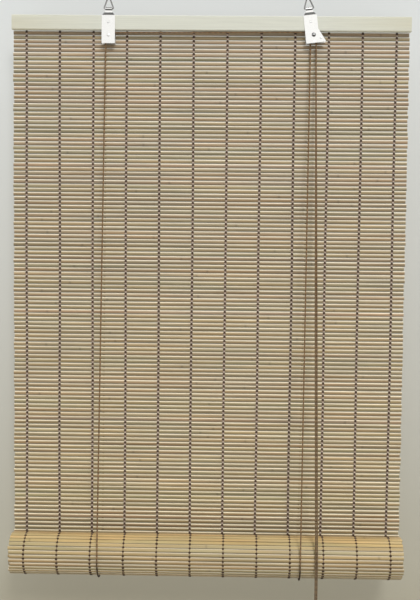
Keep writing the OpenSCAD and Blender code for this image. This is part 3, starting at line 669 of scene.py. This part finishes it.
class BLIND_OT_stage(bpy.types.Operator):
    """Make the camera, the lamps, the wall and the floor"""

    bl_idname = "blind.stage"
    bl_label = "Stage"

    focal_px: FloatProperty(name="Focal length", description="In pixels of the photograph", default=1056.8)
    pitch: FloatProperty(name="Pitch", description="Downward tilt in degrees", default=3.808)
    yaw: FloatProperty(name="Yaw", description="Turn in degrees", default=-1.201)
    roll: FloatProperty(name="Roll", description="Roll in degrees", default=-0.586)

    def execute(self, context):
        scene = context.scene
        self.make_camera(scene)
        self.make_lamps(scene)
        self.make_world(scene)
        self.make_backdrop(scene)
        scene.view_settings.view_transform = "Standard"
        return {"FINISHED"}

    def make_camera(self, scene):
        """A camera fitted to the rail, the threads, the hangers and the roll."""
        stand = (0.1906, -1.6120, -0.3441)
        photo_height = 600
        pitch, yaw, roll = (math.radians(a) for a in (self.pitch, self.yaw, self.roll))
        level = math.cos(pitch)
        ahead = Vector((math.sin(yaw) * level, math.cos(yaw) * level, -math.sin(pitch)))
        right = Vector((math.cos(yaw), -math.sin(yaw), 0))
        down = ahead.cross(right)
        across = math.cos(roll) * right + math.sin(roll) * down
        below = math.cos(roll) * down - math.sin(roll) * right
        data = bpy.data.cameras.new("camera")
        data.sensor_width = 36.0
        data.lens = self.focal_px * data.sensor_width / photo_height
        data.clip_start, data.clip_end = 0.01, 60.0
        camera = bpy.data.objects.new("camera", data)
        turn = Matrix((across, -below, -ahead)).transposed().to_4x4()
        camera.matrix_world = Matrix.Translation(stand) @ turn
        scene.collection.objects.link(camera)
        scene.camera = camera

    def make_lamps(self, scene):
        """A soft key from the upper right front, a broad top light, and a weaker lamp behind."""
        for name, elevation, azimuth, strength, spread, glints in (
            ("key", 38, 14, 1.58, 14, True),
            ("top", 70, -10, 2.05, 70, False),
            ("back", 35, 160, 1.6, 60, False),
        ):
            data = bpy.data.lights.new(name, "SUN")
            data.energy, data.angle = strength, math.radians(spread)
            lamp = bpy.data.objects.new(name, data)
            e, a = math.radians(elevation), math.radians(azimuth)
            towards = Vector((math.sin(a) * math.cos(e), -math.cos(a) * math.cos(e), math.sin(e)))
            lamp.rotation_euler = towards.to_track_quat("Z", "Y").to_euler()
            lamp.visible_glossy = glints
            scene.collection.objects.link(lamp)

    def make_world(self, scene):
        """Even soft light, pale to the camera. What gloss sees is white at eye level and dim overhead."""
        world = bpy.data.worlds.new("studio")
        scene.world = world
        world.use_nodes = True
        tree = world.node_tree
        tree.nodes.clear()
        ray = add(tree, "ShaderNodeLightPath")
        towards = add(tree, "ShaderNodeTexCoord").outputs["Generated"]
        height = add(tree, "ShaderNodeSeparateXYZ", {0: towards}).outputs["Z"]
        pale = add(
            tree,
            "ShaderNodeMapRange",
            {"Value": height, "From Min": 0.25, "From Max": 0.7, "To Min": 1.0, "To Max": 0.16},
        )
        gloss = {0: ray.outputs["Is Glossy Ray"], 2: 0.2, 3: pale}
        lighting = add(tree, "ShaderNodeMix", gloss, data_type="FLOAT")
        view = {0: ray.outputs["Is Camera Ray"], 2: lighting, 3: 0.86}
        level = add(tree, "ShaderNodeMix", view, data_type="FLOAT")
        light = add(tree, "ShaderNodeBackground", {"Color": (1, 0.99, 0.97, 1), "Strength": level})
        add(tree, "ShaderNodeOutputWorld", {"Surface": light})

    def make_backdrop(self, scene):
        """The wall behind the blind, and the floor below it."""
        wall_y, wall_top, floor_z, reach = 60 * MM, 2.0, cad_box[0][2] - 40 * MM, 4.0
        square = ((-1, -1), (1, -1), (1, 1), (-1, 1))
        upright = [(u * reach, wall_y, floor_z if v < 0 else wall_top) for u, v in square]
        flat = [(u * reach, v * reach, floor_z) for u, v in square]
        for name, material, corners in (("wall", painted_wall(), upright), ("floor", pale_floor(), flat)):
            mesh = bpy.data.meshes.new(name)
            mesh.from_pydata(corners, [], [(0, 1, 2, 3)])
            mesh.materials.append(material)
            made = bpy.data.objects.new(name, mesh)
            scene.collection.objects.link(made)


class BLIND_OT_cords(bpy.types.Operator):
    """Make the lift cords, the pull cord with its hank, and the tie"""

    bl_idname = "blind.cords"
    bl_label = "Cords"

    # painted shade: colour of the pull cord lower down, where less light reaches it, as a share of the clean
    # cord's
    lower_cord_shade = (0.8, 0.86, 0.9)

    def execute(self, context):
        self.braid = braided_cord()
        self.lift_cords()
        self.head_cords()
        self.pull_cord()
        return {"FINISHED"}

    def single(self, name, path, diameter=None, tone=(1, 1, 1)):
        """One length of cord as a piece of its own."""
        stock = Stock()
        add_cord(stock, np.asarray(path, float), diameter or sizes().cord_d, tone=tone)
        return stock.piece(name, self.braid)

    def lift_cords(self):
        """Each goes down behind the mat, a little to the left, round under the roll and up its front."""
        y0, z0 = ROLL_AXIS[1], ROLL_AXIS[2]
        step, points = 20 * MM, 60
        under_roll_shade, fading = 0.72, 0.5
        for side, x, foot_x, groove, top_z in zip(("left", "right"), LIFT_X, FOOT_X, GROOVES, LIFT_TOP_Z):
            run = np.array([(foot_x, BACK_RUN_Y, z0), (x, BACK_RUN_Y, BACK_TOP_Z)])
            back = self.single(f"{side}_back_cord", resample(run, step))
            dress(back, "head", "cord_braid", f"{side}_lift_back")
            draw_up(back)
            # the front run leaves the sling on a tangent to the roll
            dy, dz = groove - y0, top_z - z0
            leave = math.atan2(dz, dy) + math.acos(SLING_R / math.hypot(dy, dz))
            turn = np.linspace(2 * math.pi, leave, points)
            arc = [np.full(points, foot_x), y0 + SLING_R * np.cos(turn), z0 + SLING_R * np.sin(turn)]
            arc = np.stack(arc, -1)
            # painted shade: darker where it runs under the roll
            shade = 1 - under_roll_shade * np.clip((turn - leave) / fading, 0, 1)
            sling = self.single(f"{side}_sling_cord", arc, tone=np.repeat(shade[:, None], 3, 1))
            dress(sling, "roll_carriage", "cord_braid", f"{side}_lift_sling")
            run = np.array([arc[-1], (x, groove, top_z)])
            front = self.single(f"{side}_front_cord", resample(run, step))
            dress(front, "head", "cord_braid", f"{side}_lift_front")
            draw_up(front)

    def head_cords(self):
        """The cords over the pulleys and along the rail, and the loops on the nails behind."""
        lean = math.atan2(LOCK_AXLE[2] - LEFT_AXLE[2], LOCK_AXLE[0] - LEFT_AXLE[0])
        quarter, half = math.pi / 2, math.pi

        def over(axle, y, start, end):
            """Part of a turn over a pulley."""
            turn = np.linspace(start, end, 14)
            return [(axle[0] + CORD_R * math.cos(a), y, axle[2] + CORD_R * math.sin(a)) for a in turn]

        def rise(x, y, top_z, axle):
            """From the top of a front run to just below the pulley's axle."""
            return [(x, y, top_z), (x, y, axle[2] - 2 * MM)]

        def drop(y):
            """From the lock pulley down past the cam to the housing's lower edge."""
            return [(PULL_X, y, z) for z in np.linspace(LOCK_AXLE[2] - 3 * MM, EXIT_Z, 5)]

        first = over(LEFT_AXLE, GROOVES[0], half, quarter + lean)
        last = over(LOCK_AXLE, GROOVES[0], quarter + lean, 0)
        along = np.linspace(first[-1], last[0], 12)[1:-1].tolist()
        cross = rise(LIFT_X[0], GROOVES[0], LIFT_TOP_Z[0], LEFT_AXLE)
        cross += first + along + last + drop(GROOVES[0])
        dress(self.single("cross_cord_braid", cross), "head", "cord_braid", "cross_cord")
        wrap = rise(LIFT_X[1], GROOVES[1], LIFT_TOP_Z[1], LOCK_AXLE)
        wrap += over(LOCK_AXLE, GROOVES[1], half, 0) + drop(GROOVES[1])
        dress(self.single("right_wrap_braid", wrap), "head", "cord_braid", "right_cord_wrap")
        loops = Stock()
        d = sizes().cord_d
        for x in LIFT_X:
            turn = np.linspace(0, 2 * math.pi, 33)
            ring_x, ring_z = x - LOOP_R + LOOP_R * np.cos(turn), NAIL_Z + LOOP_R * np.sin(turn)
            add_cord(loops, np.stack([ring_x, np.full(33, BACK_RUN_Y), ring_z], -1), d)
            # two hitches below the nail, drawn tight, hold the loop
            tight, below, height = 0.8, 0.5 * MM, 3.6 * MM
            turn = np.linspace(0, 4 * math.pi, 41)
            hitch = [
                x + 1.15 * d * np.cos(turn) * tight,
                BACK_RUN_Y + 0.9 * d * np.sin(turn) * tight,
                BACK_TOP_Z - below - turn / (4 * math.pi) * height,
            ]
            add_cord(loops, np.stack(hitch, -1), tight * d, 8)
        dress(loops.piece("cord_loop_knots", self.braid), "head", "cord_braid", "cord_loops")

    def pull_cord(self):
        """Two strands from the lock, over the front of the roll, to a tied hank and a knob."""
        # routes in millimetres: from the lock to the front of the roll, and from there down to the hank
        uppers = (
            [(0, 0, 0), (0, 0, -4), (0, -0.8, -14), (2.8, -30, -388), (7.4, -58.9, -762)],
            [(0, 0, 0), (0, 0, -4), (0, -0.8, -14), (5.2, -31.5, -388), (9.8, -62, -762)],
        )
        lowers = [(0, 0, 0), (0, -0.4, -5), (0, -0.5, -10), (0, -0.5, -14), (0, -0.5, -50), (0, -0.5, -66)]
        middle = (HANK_LOW + HANK_HIGH) / 2
        tie = self.hank_tie(middle)
        for n, steps in enumerate(uppers):
            start = np.array((PULL_X, GROOVES[n], EXIT_Z))
            route = resample(start + np.array(steps) * MM, 24 * MM)
            # painted shade that grows down the strand
            darker = np.linspace((1, 1, 1), self.lower_cord_shade, len(route))
            upper = self.single(f"pull_strand_{n + 1}", route, tone=darker)
            dress(upper, "head", "cord_braid", "pull_cord_upper")
            draw_up(upper)
            head = route[-1] + np.array(lowers) * MM
            route = self.hank_route(head, middle, -1 if n == 0 else 1)
            # painted shade over the whole hank
            lower = self.single(f"pull_hank_{n + 1}", route, tone=self.lower_cord_shade)
            dress(lower, "roll_carriage", "cord_braid", "pull_cord_lower", "cord_hank")

    def hank_route(self, head, middle, side):
        """One strand: down to the hank, outer turns away from the middle, inner turns back, and out below."""
        s = sizes()
        d = s.cord_d
        turns, per_turn, step = 4, 36, 2.5 * MM
        past_turns = 0.1
        off_middle, tail_off = 1.03 * d, 0.55 * d
        half = (HANK_HIGH - HANK_LOW) / 2
        wide = half[0] - d / 2
        narrow = wide - s.hank_pitch
        straight = half[2] - half[0]
        first_y = middle[1] + side * off_middle

        def stadium(r, t):
            """Point of a stadium at share t of a turn, from the top of the strand's own side, going down."""
            total = 4 * straight + 2 * math.pi * r
            go = (t % 1) * total
            if go < 2 * straight:
                x, z = r, straight - go
            elif go < 2 * straight + math.pi * r:
                a = (go - 2 * straight) / r
                x, z = r * math.cos(a), -straight - r * math.sin(a)
            elif go < 4 * straight + math.pi * r:
                x, z = -r, -straight + go - 2 * straight - math.pi * r
            else:
                a = (go - 4 * straight - math.pi * r) / r
                x, z = -r * math.cos(a), straight + r * math.sin(a)
            return x * side, z

        coil = []
        for t in np.linspace(0, turns, turns * per_turn + 1):
            x, z = stadium(wide, t)
            coil.append((middle[0] + x, first_y + side * s.hank_pitch * t, middle[2] + z))
        last_y = coil[-1][1]
        # one straight side eases from the outer turns to the inner ones
        share = 2 * straight / (4 * straight + 2 * math.pi * narrow)
        for t in np.linspace(0.02, 1, 8):
            _, z = stadium(narrow, share * t)
            ease = t * t * (3 - 2 * t)
            coil.append((middle[0] + side * (wide + (narrow - wide) * ease), last_y, middle[2] + z))
        end = turns + past_turns
        for t in np.linspace(share, end, turns * per_turn):
            x, z = stadium(narrow, t)
            back = (t - share) / (end - share) * turns * s.hank_pitch
            coil.append((middle[0] + x, last_y - side * back, middle[2] + z))
        coil = np.array(coil)
        lead = smooth_path([head[-2], head[-1], (head[-1] + coil[0]) / 2, coil[0], coil[2]], 8)[8:-8]
        foot = np.array((middle[0] + side * tail_off, middle[1], HANK_LOW[2]))
        down = np.array((0, 0, -1)) * MM
        halfway = (coil[-1] + foot) / 2 - 3 * down
        tail = [coil[-4], coil[-1], halfway, foot - 4 * down, foot + 6 * down, foot + 13.5 * down]
        tail = smooth_path(tail, 8)[9:]
        return resample(np.concatenate([head[:-1], lead, coil[1:], tail]), step)

    def hank_tie(self, middle):
        """Three turns of thin cord round the middle of the hank, in place of the plain band."""
        s = sizes()
        turns, half_height, corner, step = 3, 1.65 * MM, 4 * MM, 2 * MM
        half = (HANK_HIGH - HANK_LOW) / 2 + 0.55 * s.tie_d
        outline = []
        for u, v, start in ((1, 1, 0), (-1, 1, 90), (-1, -1, 180), (1, -1, 270)):
            x, y = u * (half[0] - corner), v * (half[1] - corner)
            for a in np.radians(np.linspace(start, start + 90, 7)):
                outline.append((x + corner * math.cos(a), y + corner * math.sin(a)))
        outline = np.array(outline * turns + outline[:1])
        height = np.linspace(half_height, -half_height, len(outline))
        path = middle + np.column_stack([outline, height])
        tie = self.single("hank_tie_cord", resample(path, step), s.tie_d)
        return dress(tie, "roll_carriage", "cord_braid", "hank_tie")


class BLIND_OT_mat(bpy.types.Operator):
    """Make the flat mat: its slats and both yarns of each warp thread"""

    bl_idname = "blind.mat"
    bl_label = "Mat"

    def execute(self, context):
        s = sizes()
        self.back_y = MAT_HIGH[1]
        self.top_z = MAT_HIGH[2]
        self.height = s.slat_pitch - s.slat_gap
        self.slats(np.random.default_rng(41))
        self.yarns(np.random.default_rng(43))
        return {"FINISHED"}

    def slats(self, rng):
        """Slats with uneven ends, each a little different in height, line and colour."""
        s = sizes()
        stock = Stock()
        segments, swelling, spread = 24, 0.05, 0.12
        past_ends = (-1.2 * MM, 1.0 * MM)
        for i in range(s.slat_count):
            profile = slat_profile(self.height * rng.uniform(0.97, 1.03))
            ends = rng.uniform(-s.end_spread, s.end_spread, 2) + past_ends
            at, ridge = slat_places(rng, MAT_LOW[0] + ends[0], MAT_HIGH[0] + ends[1], segments)
            bend = slat_bend(rng, at)
            mid_z = self.top_z - i * s.slat_pitch - self.height / 2
            swell = 1 + swelling * ridge
            rings = [
                np.repeat(at[:, None], len(profile), 1),
                self.back_y - profile[None, :, 0] * swell[:, None],
                mid_z + bend[:, None] + profile[None, :, 1],
            ]
            foot = i / s.slat_count
            tone = slat_tone(rng, at, ridge, foot, spread)
            # more golden towards the foot of the mat
            gold = 1 - foot * np.array((0.07, 0.13, 0.26))
            # painted highlight on the slats' upper edges, and painted shade below them and at their rims
            tone = slat_colours_with_painted_light(tone, profile, 1, rng.uniform(0.65, 0.95)) * gold
            stock.add(np.stack(rings, -1), at + rng.uniform(0, 3), slat_around(profile, i), tone)
        mat = stock.piece("bamboo_slats", split_bamboo())
        dress(mat, "head", "bamboo", "slat_mat")
        draw_up(mat)

    def front_y(self, u):
        """Depth of the front of a slat at share u of its half height."""
        s = sizes()
        lift = np.sqrt(np.clip(1 - u * u, 0, 1)) ** 0.6
        return self.back_y - s.slat_edge - (s.slat_t - s.slat_edge) * lift

    def yarns(self, rng):
        """Two dark plies twist over the slats, and a thin pale yarn holds the backs.

        In each gap the thin yarn shows as a pale knot in front, and the dark yarn as a knot behind.
        """
        s, c = sizes(), colours()
        dark, thin = np.array(c.yarn_dark), np.array(c.yarn_thin)
        front, back = Stock(), Stock()
        head_z = self.top_z + s.slat_gap / 2
        # the plies, with their paths at six steps over each slat, and how pale they are at those steps
        steps = 6
        pale_steps = np.array([0.25, 0.0, 0.0, 0.2, 0.8, 1.0])
        ply_off, ply_half, ply_depth, ply_side = 0.24 * s.thread_w, 0.27 * s.thread_w, 0.30 * MM, 0.8 * MM
        # they lie this far before a slat's front, at least so far before the backs, are furthest apart at
        # this share of a slat, and pass this far before and behind each other
        over_slat, over_back, widest, weave = 0.25 * MM, 1.25 * MM, 0.42, 0.12 * MM
        step = np.arange(s.slat_count * steps + 1)
        run = (step / steps) * s.slat_pitch
        u = np.clip((np.mod(run, s.slat_pitch) - s.slat_pitch / 2) / (self.height / 2), -1, 1)
        y = np.minimum(self.front_y(u) - over_slat, self.back_y - over_back)
        twist = math.pi * (run / s.slat_pitch - widest)
        pale = pale_steps[step % steps][:, None]
        ply_colours = dark * (1 - pale) + thin * pale
        angles = np.arange(4) * math.pi / 2
        section = np.stack([ply_half * np.cos(angles), ply_depth * np.sin(angles), np.zeros(4)], -1)
        # the thin yarn behind, which dips into the gaps
        behind, dip, thin_r, thin_side = 0.18 * MM, 0.55 * MM, 0.33 * MM, 0.5 * MM
        quarter = np.arange(s.slat_count * 4 + 1)
        behind_y = self.back_y + behind - dip * (quarter % 4 == 0)
        behind_z = head_z - quarter / 4 * s.slat_pitch
        # knots: distance in front of the backs, height over the gap, half sizes in millimetres, colour
        knots = (
            (2.2 * MM, 1.1 * MM, np.array((1.4, 1.0, 0.85)), thin * 1.15),
            (0.05 * MM, 0.0, np.array((0.85, 0.75, 0.5)), dark),
        )
        axes = np.array([(1.0, 0, 0), (0, 0, 1.0), (0, 1.0, 0)])
        for x in thread_places():
            wander = 0.35 * MM * ripple(rng, run, 8, 16)
            for ply in (0, math.pi):
                path = [x + wander + ply_off * np.cos(twist + ply), y + weave * np.sin(twist + ply)]
                path = np.stack([*path, head_z - run], -1)
                tone = ply_colours * rng.uniform(0.85, 1.15)
                front.add(path[:, None] + section, run, np.arange(5) * ply_side, tone[:, None])
            path = np.stack([np.full(len(quarter), x), behind_y, behind_z], -1)
            tone = thin * rng.uniform(0.9, 1.1)
            back.add(tube_rings(path, thin_r, 4), arc_lengths(path), np.arange(5) * thin_side, tone)
            for i in range(1, s.slat_count):
                shade = rng.uniform(0.85, 1.15)
                for forward, up, half, colour in knots:
                    gap = (x + wander[i * steps], self.back_y - forward, head_z - i * s.slat_pitch + up)
                    add_bead(back, np.array(gap), half * MM, axes, colour * shade)
        yarn = spun_yarn()
        for stock, name, node in (
            (front, "front_yarn", "front_threads"),
            (back, "back_yarn", "back_threads"),
        ):
            made = stock.piece(name, yarn, sharp=120)
            dress(made, "head", "warp_yarn", node)
            draw_up(made)


class BLIND_OT_roll(bpy.types.Operator):
    """Make the roll: wound slats with their yarns on the outer turn, round the batten"""

    bl_idname = "blind.roll"
    bl_label = "Roll"

    def execute(self, context):
        c = colours()
        rng = np.random.default_rng(47)
        self.slats(rng)
        self.yarns(rng)
        cane = (tuple(c.batten), tuple(c.bamboo_brown))
        paint_node("bottom_batten", wood("bamboo_stick", *cane, grain_mm=0.8, roughness=0.5))
        return {"FINISHED"}

    def wound(self, run):
        """Radius and angle of the outside of the mat after a wound length."""
        s = sizes()
        r = math.sqrt(max(s.roll_r**2 - s.turn_pitch * run / math.pi, 1e-9))
        return r, -2 * math.pi * (s.roll_r - r) / s.turn_pitch

    def slats(self, rng):
        """Slats on a spiral that starts at the back of the roll. Only the outer turns are seen closely."""
        s = sizes()
        stock = Stock()
        height = s.slat_pitch - s.slat_gap
        outer_slats, outer_segments, inner_segments = 40, 20, 2
        # more golden than the flat mat, and the tilt brings the painted highlight on the slats' edges further
        # down the front
        golden = np.array((1.22, 1.12, 0.87))
        spread, highlight_share, tilt = 0.06, 0.58, 0.3
        for i in range(s.wound_slats):
            r, a = self.wound((i + 0.5) * s.slat_pitch)
            profile = slat_profile(height * rng.uniform(0.95, 1.02))
            ends = np.array((rng.uniform(0.0, 4.5), rng.uniform(-1.5, 0.8))) * MM
            segments = outer_segments if i < outer_slats else inner_segments
            at, ridge = slat_places(rng, MAT_LOW[0] + ends[0], MAT_HIGH[0] + ends[1], segments)
            depth = (r - profile[:, 0])[None, :] + slat_bend(rng, at)[:, None]
            shift = profile[:, 1]
            rings = [
                np.repeat(at[:, None], len(profile), 1),
                ROLL_AXIS[1] + depth * math.cos(a) - shift * math.sin(a),
                ROLL_AXIS[2] + depth * math.sin(a) + shift * math.cos(a),
            ]
            # painted light: lighter on the upper side of the roll, which faces the lamps
            painted_top_light = 0.89 + 0.38 * max(0.0, math.sin(a)) ** 2
            tone = slat_tone(rng, at, ridge, 1, spread) * golden * painted_top_light
            # painted highlight on the edges that face up, and painted shade below them and at the rims
            tone = slat_colours_with_painted_light(tone, profile, math.cos(a - tilt), highlight_share)
            stock.add(np.stack(rings, -1), at + rng.uniform(0, 3), slat_around(profile, i), tone)
        dress(stock.piece("bamboo_roll", split_bamboo()), "roll", "bamboo", "mat_roll")

    def yarns(self, rng):
        """The dark yarn over the outer turn, which dips into the gaps, with a knot in each gap."""
        s, c = sizes(), colours()
        stock = Stock()
        dark, thin = np.array(c.yarn_dark), np.array(c.yarn_thin)
        across = np.array((1.0, 0, 0))
        turn_slats = 33
        over, dip, yarn_r, yarn_side = 0.2 * MM, 0.5 * MM, 0.5 * MM, 0.5 * MM
        knot_half = np.array((2.3, 1.85, 0.8)) * MM
        knot_over = 0.05 * MM
        # the threads on the outer turn lie further in than those of the flat mat, on the left the most
        inwards = np.linspace(6.0, -1.5, s.thread_count) * MM
        for x in thread_places() + inwards:
            path = []
            for k in range(2, turn_slats * 4 + 1):
                r, a = self.wound(k / 4 * s.slat_pitch)
                r += over - (dip if k % 4 == 0 else 0)
                path.append((x, ROLL_AXIS[1] + r * math.cos(a), ROLL_AXIS[2] + r * math.sin(a)))
            path = np.array(path)
            rings = tube_rings(path, yarn_r, 4)
            stock.add(rings, arc_lengths(path), np.arange(5) * yarn_side, dark + thin * 0.3)
            for k in range(1, turn_slats + 1):
                r, a = self.wound(k * s.slat_pitch)
                out = np.array((0, math.cos(a), math.sin(a)))
                centre = np.array((x, ROLL_AXIS[1], ROLL_AXIS[2])) + out * (r + knot_over)
                size = rng.uniform(0.9, 1.1)
                half = knot_half * (size, size, 1)
                axes = np.array([across, np.cross(out, across), out])
                add_bead(stock, centre, half, axes, dark * rng.uniform(0.8, 1.1))
        dress(stock.piece("roll_yarn", spun_yarn(), sharp=120), "roll", "warp_yarn", "roll_threads")


class BLIND_OT_rail(bpy.types.Operator):
    """Give the head rail its lime-washed wood"""

    bl_idname = "blind.rail"
    bl_label = "Head rail"

    def execute(self, context):
        c = colours()
        low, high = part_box("head_rail")
        ends = ((low[0] + high[0]) / 2, (high[0] - low[0]) / 2)
        wash = (tuple(c.rail_pale), tuple(c.rail_warm))
        paint_node("head_rail", wood("lime_washed_pine", *wash, grain_mm=1.2, roughness=0.55, ends=ends))
        return {"FINISHED"}


class BLIND_OT_fittings(bpy.types.Operator):
    """Give the hangers, rings, rivets, nails, pulleys, cam and knob their finishes"""

    bl_idname = "blind.fittings"
    bl_label = "Fittings"

    def execute(self, context):
        c = colours()
        zinc = np.array(c.zinc)
        # painted shade: a dark line across each strip, just below the ring, where the strip is rolled over
        below_ring = 1.8 * MM
        sheets = []
        for side in ("left", "right"):
            ring = joint(f"{side}_ring_swing")
            up = np.cross(ring["axis"], (0, 1.0, 0)) * (-1 if ring["axis"][0] < 0 else 1)
            shade_line = (tuple(np.array(ring["pos_m"]) - up * below_ring), tuple(up))
            name = f"zinc_plated_sheet_{side}"
            sheets.append(plated_steel(name, tuple(zinc), roughness=0.24, scratch_mm=0.25, shade_line=shade_line))
        # painted reflection: the wire's zinc plating is drawn at a third of the sheets' colour, for the dark
        # surroundings that the round wire mirrors
        shaded_wire = plated_steel("zinc_plated_wire", tuple(zinc * 0.34), roughness=0.22, scratch_mm=0.4)
        rivet = plated_steel("plated_rivet", tuple(zinc * 0.98), roughness=0.5, scratch_mm=0.5)
        dome = plated_steel("burnished_steel", tuple(zinc * 0.42), roughness=0.26, scratch_mm=0.5)
        cam = plated_steel("die_cast_zinc", tuple(zinc * 0.55), roughness=0.42, scratch_mm=0.3)
        stain = (tuple(c.knob_wood), tuple(c.cord_fleck))
        beech = wood("stained_beech", *stain, grain_mm=0.5, roughness=0.35, upright=True)
        for material, names in (
            (sheets[0], ("left_hanger",)),
            (sheets[1], ("lock_housing",)),
            (shaded_wire, ("left_ring", "right_ring")),
            (dome, ("lock_axle",)),
            (rivet, ("left_axle", "hanger_nails", "cam_pin", "anvil_pin", "mat_staples", "cord_nails")),
            (cam, ("lock_cam",)),
            (moulded_nylon(), ("left_pulley", "lock_pulley")),
            (beech, ("pull_knob",)),
        ):
            for name in names:
                paint_node(name, material)
        return {"FINISHED"}


class BLIND_PT_panel(bpy.types.Panel):
    """Lists the steps that build the blind, and its sizes and colours"""

    bl_idname = "BLIND_PT_panel"
    bl_label = "Bamboo blind"
    bl_space_type = "VIEW_3D"
    bl_region_type = "UI"
    bl_category = "Blind"

    def draw(self, context):
        for step in STEPS:
            self.layout.operator(step.bl_idname)
        for group in (context.scene.blind_sizes, context.scene.blind_colours):
            for name in group.__annotations__:
                self.layout.prop(group, name)


STEPS = (BLIND_OT_stage, BLIND_OT_cords, BLIND_OT_mat, BLIND_OT_roll, BLIND_OT_rail, BLIND_OT_fittings)
CLASSES = (BlindSizes, BlindColours, *STEPS, BLIND_PT_panel)


def register():
    for kind in CLASSES:
        bpy.utils.register_class(kind)
    bpy.types.Scene.blind_sizes = PointerProperty(type=BlindSizes)
    bpy.types.Scene.blind_colours = PointerProperty(type=BlindColours)


def unregister():
    del bpy.types.Scene.blind_colours
    del bpy.types.Scene.blind_sizes
    for kind in reversed(CLASSES):
        bpy.utils.unregister_class(kind)


def main():
    register()
    bpy.ops.blind.stage()
    bpy.ops.blind.cords()
    bpy.ops.blind.mat()
    bpy.ops.blind.roll()
    bpy.ops.blind.rail()
    bpy.ops.blind.fittings()


if __name__ == "__main__":
    main()
